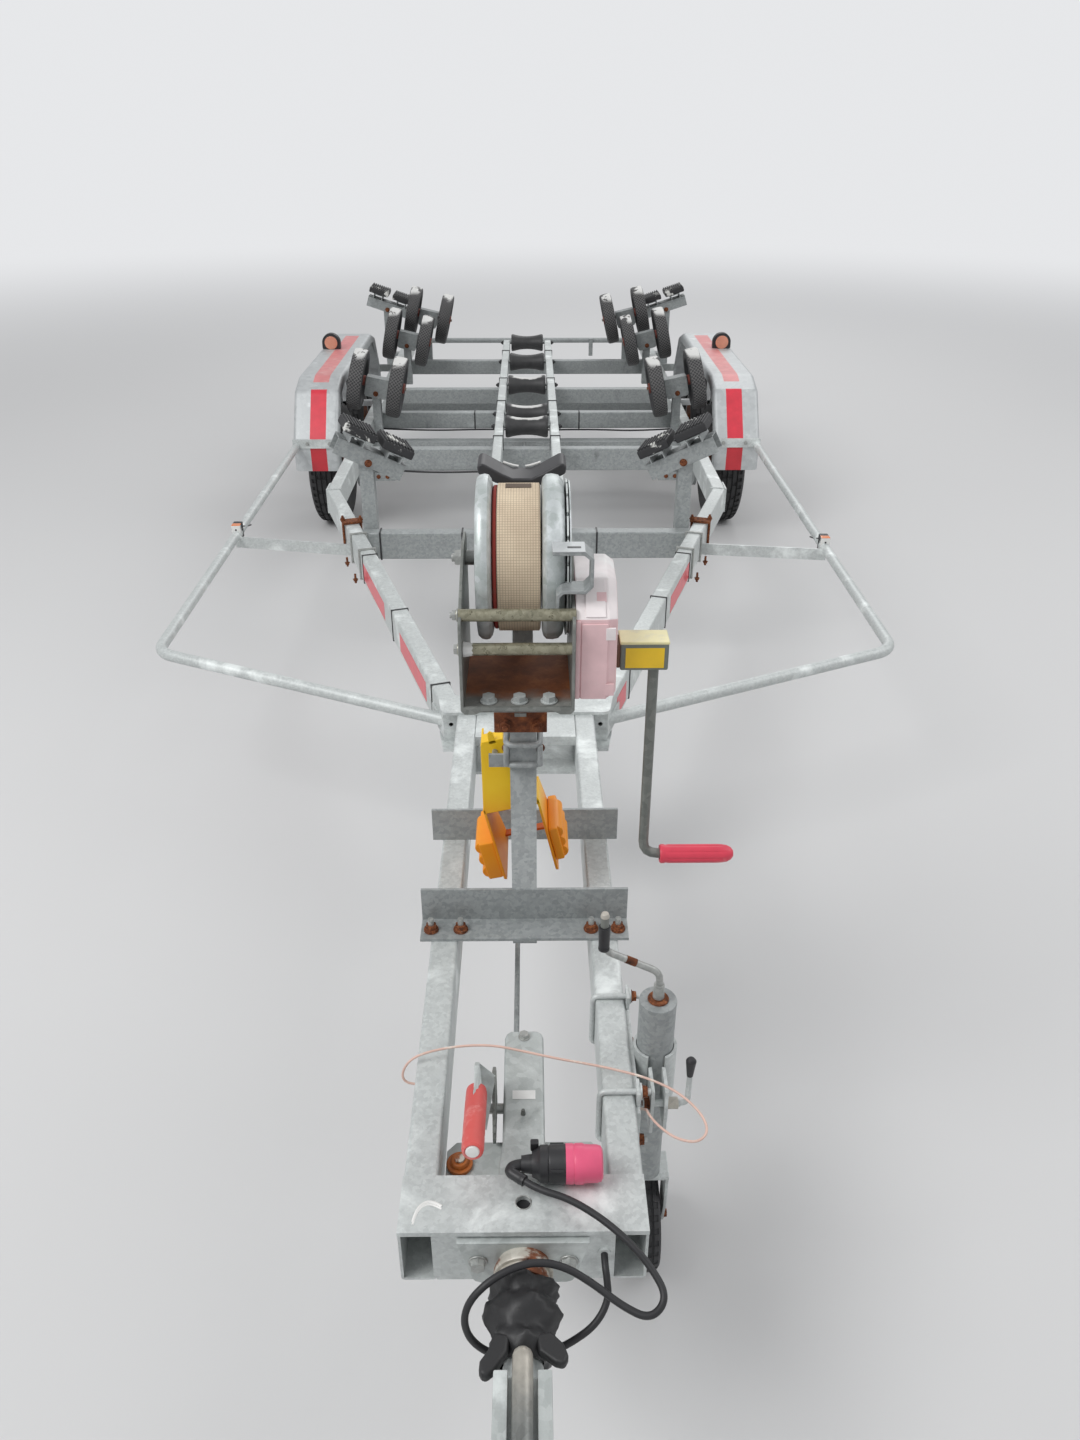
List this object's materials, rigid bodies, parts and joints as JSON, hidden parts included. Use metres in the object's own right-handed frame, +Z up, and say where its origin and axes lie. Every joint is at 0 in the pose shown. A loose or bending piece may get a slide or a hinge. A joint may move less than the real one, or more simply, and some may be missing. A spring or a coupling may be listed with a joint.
{
  "type": "boat trailer",
  "caption": "Galvanised tandem boat trailer with keel rollers, tilting side wheels and pads, hand winch, jockey wheel and side guards.",
  "frame": {"origin": "on the ground at the middle of the trailer's box", "axes": "+Z up, -Y towards the ball coupling, +X towards the side that carries the jack"},
  "size_m": [2.2, 6.95, 1.401],
  "materials": {
    "galvanised": "hot-dip galvanised, dull grey with spangle and runs",
    "galvanised_sheet": "galvanised sheet, dull",
    "zinc": "zinc plated, weathered with rust",
    "tyre": "black tyre rubber",
    "black_rubber": "black rubber, worn",
    "black_plastic": "black plastic",
    "cable_black": "black cable sheath",
    "wire_pink": "faded red plastic over a steel wire",
    "yellow_plastic": "yellow to orange plastic",
    "faded_plastic": "faded red plastic, now pale pink",
    "webbing": "beige webbing",
    "lamp_amber": "amber lens in a dark housing"
  },
  "bodies": {
    "chassis": {"drawbar_rails": "galvanised", "chassis_sides": "galvanised", "cross_members": "galvanised", "drawbar_plates": "galvanised", "keel_ladder": "galvanised", "roller_mounts": "galvanised", "axles": "galvanised", "mudguards": "galvanised_sheet", "lamps": "lamp_amber", "side_guards": "galvanised", "winch_post": "galvanised", "winch_frame": "zinc", "gear_cover": "faded_plastic", "bow_stop": "black_rubber", "overrun_housing": "galvanised", "coupling_body": "galvanised", "bellows": "black_rubber", "jack_tube": "galvanised", "plug": "black_plastic", "power_cable": "cable_black", "breakaway_cable": "wire_pink", "chock": "yellow_plastic"},
    "road_wheel_front_left": {"tyre_front_left": "tyre", "rim_front_left": "galvanised"},
    "road_wheel_rear_left": {"tyre_rear_left": "tyre", "rim_rear_left": "galvanised"},
    "road_wheel_front_right": {"tyre_front_right": "tyre", "rim_front_right": "galvanised"},
    "road_wheel_rear_right": {"tyre_rear_right": "tyre", "rim_rear_right": "galvanised"},
    "keel_roller_1": {"keel_roller_1": "black_rubber"},
    "keel_roller_2": {"keel_roller_2": "black_rubber"},
    "keel_roller_3": {"keel_roller_3": "black_rubber"},
    "keel_roller_4": {"keel_roller_4": "black_rubber"},
    "keel_roller_5": {"keel_roller_5": "black_rubber"},
    "rocker_front_left": {"rocker_front_left": "galvanised_sheet"},
    "wheel_pair_front_left": {"wheel_pair_front_left": "black_rubber"},
    "rocker_middle_left": {"rocker_middle_left": "galvanised_sheet"},
    "wheel_pair_middle_left": {"wheel_pair_middle_left": "black_rubber"},
    "rocker_rear_left": {"rocker_rear_left": "galvanised_sheet"},
    "wheel_pair_rear_left": {"wheel_pair_rear_left": "black_rubber"},
    "pad_rocker_front_left": {"pad_rocker_front_left": "black_rubber"},
    "pad_rocker_rear_left": {"pad_rocker_rear_left": "black_rubber"},
    "rocker_front_right": {"rocker_front_right": "galvanised_sheet"},
    "wheel_pair_front_right": {"wheel_pair_front_right": "black_rubber"},
    "rocker_middle_right": {"rocker_middle_right": "galvanised_sheet"},
    "wheel_pair_middle_right": {"wheel_pair_middle_right": "black_rubber"},
    "rocker_rear_right": {"rocker_rear_right": "galvanised_sheet"},
    "wheel_pair_rear_right": {"wheel_pair_rear_right": "black_rubber"},
    "pad_rocker_front_right": {"pad_rocker_front_right": "black_rubber"},
    "pad_rocker_rear_right": {"pad_rocker_rear_right": "black_rubber"},
    "winch_drum": {"winch_drum": "galvanised", "winch_strap": "webbing"},
    "winch_crank": {"winch_crank": "zinc"},
    "brake_lever": {"brake_lever": "galvanised"},
    "coupling_handle": {"coupling_handle": "galvanised"},
    "jack_leg": {"jack_leg": "zinc"},
    "jack_crank": {"jack_crank": "zinc"},
    "jack_fork": {"jack_fork": "zinc"},
    "jockey_wheel": {"jockey_wheel": "black_rubber"}
  },
  "joints": [
    {"name": "road_wheel_front_left_spin", "type": "hinge", "parent": "chassis", "child": "road_wheel_front_left", "pos_m": [-0.9975, 1.485, 0.298], "axis": [1, 0, 0], "continuous": true},
    {"name": "road_wheel_rear_left_spin", "type": "hinge", "parent": "chassis", "child": "road_wheel_rear_left", "pos_m": [-0.9975, 2.285, 0.298], "axis": [1, 0, 0], "continuous": true},
    {"name": "road_wheel_front_right_spin", "type": "hinge", "parent": "chassis", "child": "road_wheel_front_right", "pos_m": [0.9975, 1.485, 0.298], "axis": [1, 0, 0], "continuous": true},
    {"name": "road_wheel_rear_right_spin", "type": "hinge", "parent": "chassis", "child": "road_wheel_rear_right", "pos_m": [0.9975, 2.285, 0.298], "axis": [1, 0, 0], "continuous": true},
    {"name": "keel_roller_1_spin", "type": "hinge", "parent": "chassis", "child": "keel_roller_1", "pos_m": [0, 0.995, 0.605], "axis": [1, 0, 0], "continuous": true},
    {"name": "keel_roller_2_spin", "type": "hinge", "parent": "chassis", "child": "keel_roller_2", "pos_m": [0, 1.225, 0.605], "axis": [1, 0, 0], "continuous": true},
    {"name": "keel_roller_3_spin", "type": "hinge", "parent": "chassis", "child": "keel_roller_3", "pos_m": [0, 1.845, 0.605], "axis": [1, 0, 0], "continuous": true},
    {"name": "keel_roller_4_spin", "type": "hinge", "parent": "chassis", "child": "keel_roller_4", "pos_m": [0, 2.435, 0.605], "axis": [1, 0, 0], "continuous": true},
    {"name": "keel_roller_5_spin", "type": "hinge", "parent": "chassis", "child": "keel_roller_5", "pos_m": [0, 3.015, 0.605], "axis": [1, 0, 0], "continuous": true},
    {"name": "rocker_front_left_tip", "type": "hinge", "parent": "chassis", "child": "rocker_front_left", "pos_m": [-0.73, 1.335, 0.683], "axis": [0, -1, 0], "range_deg": [0, 20]},
    {"name": "wheel_pair_front_left_spin", "type": "hinge", "parent": "rocker_front_left", "child": "wheel_pair_front_left", "pos_m": [-0.72064, 1.335, 0.72702], "axis": [0.9781, 0, -0.2079], "continuous": true},
    {"name": "rocker_middle_left_tip", "type": "hinge", "parent": "chassis", "child": "rocker_middle_left", "pos_m": [-0.7, 2.565, 0.676], "axis": [0, -1, 0], "range_deg": [0, 20]},
    {"name": "wheel_pair_middle_left_spin", "type": "hinge", "parent": "rocker_middle_left", "child": "wheel_pair_middle_left", "pos_m": [-0.68988, 2.565, 0.71985], "axis": [0.9744, 0, -0.225], "continuous": true},
    {"name": "rocker_rear_left_tip", "type": "hinge", "parent": "chassis", "child": "rocker_rear_left", "pos_m": [-0.6, 2.859, 0.75], "axis": [0, -1, 0], "range_deg": [0, 20]},
    {"name": "wheel_pair_rear_left_spin", "type": "hinge", "parent": "rocker_rear_left", "child": "wheel_pair_rear_left", "pos_m": [-0.58988, 2.859, 0.79385], "axis": [0.9744, 0, -0.225], "continuous": true},
    {"name": "pad_rocker_front_left_tip", "type": "hinge", "parent": "chassis", "child": "pad_rocker_front_left", "pos_m": [-0.568, -0.22, 0.8], "axis": [0.2924, -0.9563, 0], "range_deg": [0, 30]},
    {"name": "pad_rocker_rear_left_tip", "type": "hinge", "parent": "chassis", "child": "pad_rocker_rear_left", "pos_m": [-0.862, 3.085, 0.795], "axis": [0, -1, 0], "range_deg": [0, 30]},
    {"name": "rocker_front_right_tip", "type": "hinge", "parent": "chassis", "child": "rocker_front_right", "pos_m": [0.73, 1.335, 0.683], "axis": [0, 1, 0], "range_deg": [0, 20]},
    {"name": "wheel_pair_front_right_spin", "type": "hinge", "parent": "rocker_front_right", "child": "wheel_pair_front_right", "pos_m": [0.72064, 1.335, 0.72702], "axis": [0.9781, 0, 0.2079], "continuous": true},
    {"name": "rocker_middle_right_tip", "type": "hinge", "parent": "chassis", "child": "rocker_middle_right", "pos_m": [0.7, 2.565, 0.676], "axis": [0, 1, 0], "range_deg": [0, 20]},
    {"name": "wheel_pair_middle_right_spin", "type": "hinge", "parent": "rocker_middle_right", "child": "wheel_pair_middle_right", "pos_m": [0.68988, 2.565, 0.71985], "axis": [0.9744, 0, 0.225], "continuous": true},
    {"name": "rocker_rear_right_tip", "type": "hinge", "parent": "chassis", "child": "rocker_rear_right", "pos_m": [0.6, 2.859, 0.75], "axis": [0, 1, 0], "range_deg": [0, 20]},
    {"name": "wheel_pair_rear_right_spin", "type": "hinge", "parent": "rocker_rear_right", "child": "wheel_pair_rear_right", "pos_m": [0.58988, 2.859, 0.79385], "axis": [0.9744, 0, 0.225], "continuous": true},
    {"name": "pad_rocker_front_right_tip", "type": "hinge", "parent": "chassis", "child": "pad_rocker_front_right", "pos_m": [0.568, -0.22, 0.8], "axis": [0.2924, 0.9563, 0], "range_deg": [0, 30]},
    {"name": "pad_rocker_rear_right_tip", "type": "hinge", "parent": "chassis", "child": "pad_rocker_rear_right", "pos_m": [0.862, 3.085, 0.795], "axis": [0, 1, 0], "range_deg": [0, 30]},
    {"name": "winch_drum_spin", "type": "hinge", "parent": "chassis", "child": "winch_drum", "pos_m": [-0.0065, -2.392, 1.27], "axis": [1, 0, 0], "continuous": true},
    {"name": "winch_crank_turn", "type": "hinge", "parent": "chassis", "child": "winch_crank", "pos_m": [0.139, -2.505, 1.16], "axis": [1, 0, 0], "continuous": true},
    {"name": "brake_lever_pull", "type": "hinge", "parent": "chassis", "child": "brake_lever", "pos_m": [-0.07, -2.855, 0.535], "axis": [-1, 0, 0], "range_deg": [0, 55]},
    {"name": "coupling_handle_lift", "type": "hinge", "parent": "chassis", "child": "coupling_handle", "pos_m": [0, -3.415, 0.562], "axis": [1, 0, 0], "range_deg": [0, 35]},
    {"name": "jack_leg_slide", "type": "slide", "parent": "chassis", "child": "jack_leg", "axis": [0, 0, 1], "range_m": [0, 0.12]},
    {"name": "jack_crank_turn", "type": "hinge", "parent": "chassis", "child": "jack_crank", "pos_m": [0.215, -2.745, 0.66], "axis": [0, 0, 1], "continuous": true},
    {"name": "jack_fork_swivel", "type": "hinge", "parent": "jack_leg", "child": "jack_fork", "pos_m": [0.215, -2.745, 0.245], "axis": [0, 0, 1], "continuous": true},
    {"name": "jockey_wheel_spin", "type": "hinge", "parent": "jack_fork", "child": "jockey_wheel", "pos_m": [0.215, -2.725, 0.1], "axis": [1, 0, 0], "continuous": true}
  ],
  "couplings": [
    {"joint": "winch_crank_turn", "follows": "winch_drum_spin", "ratio": -4}
  ]
}
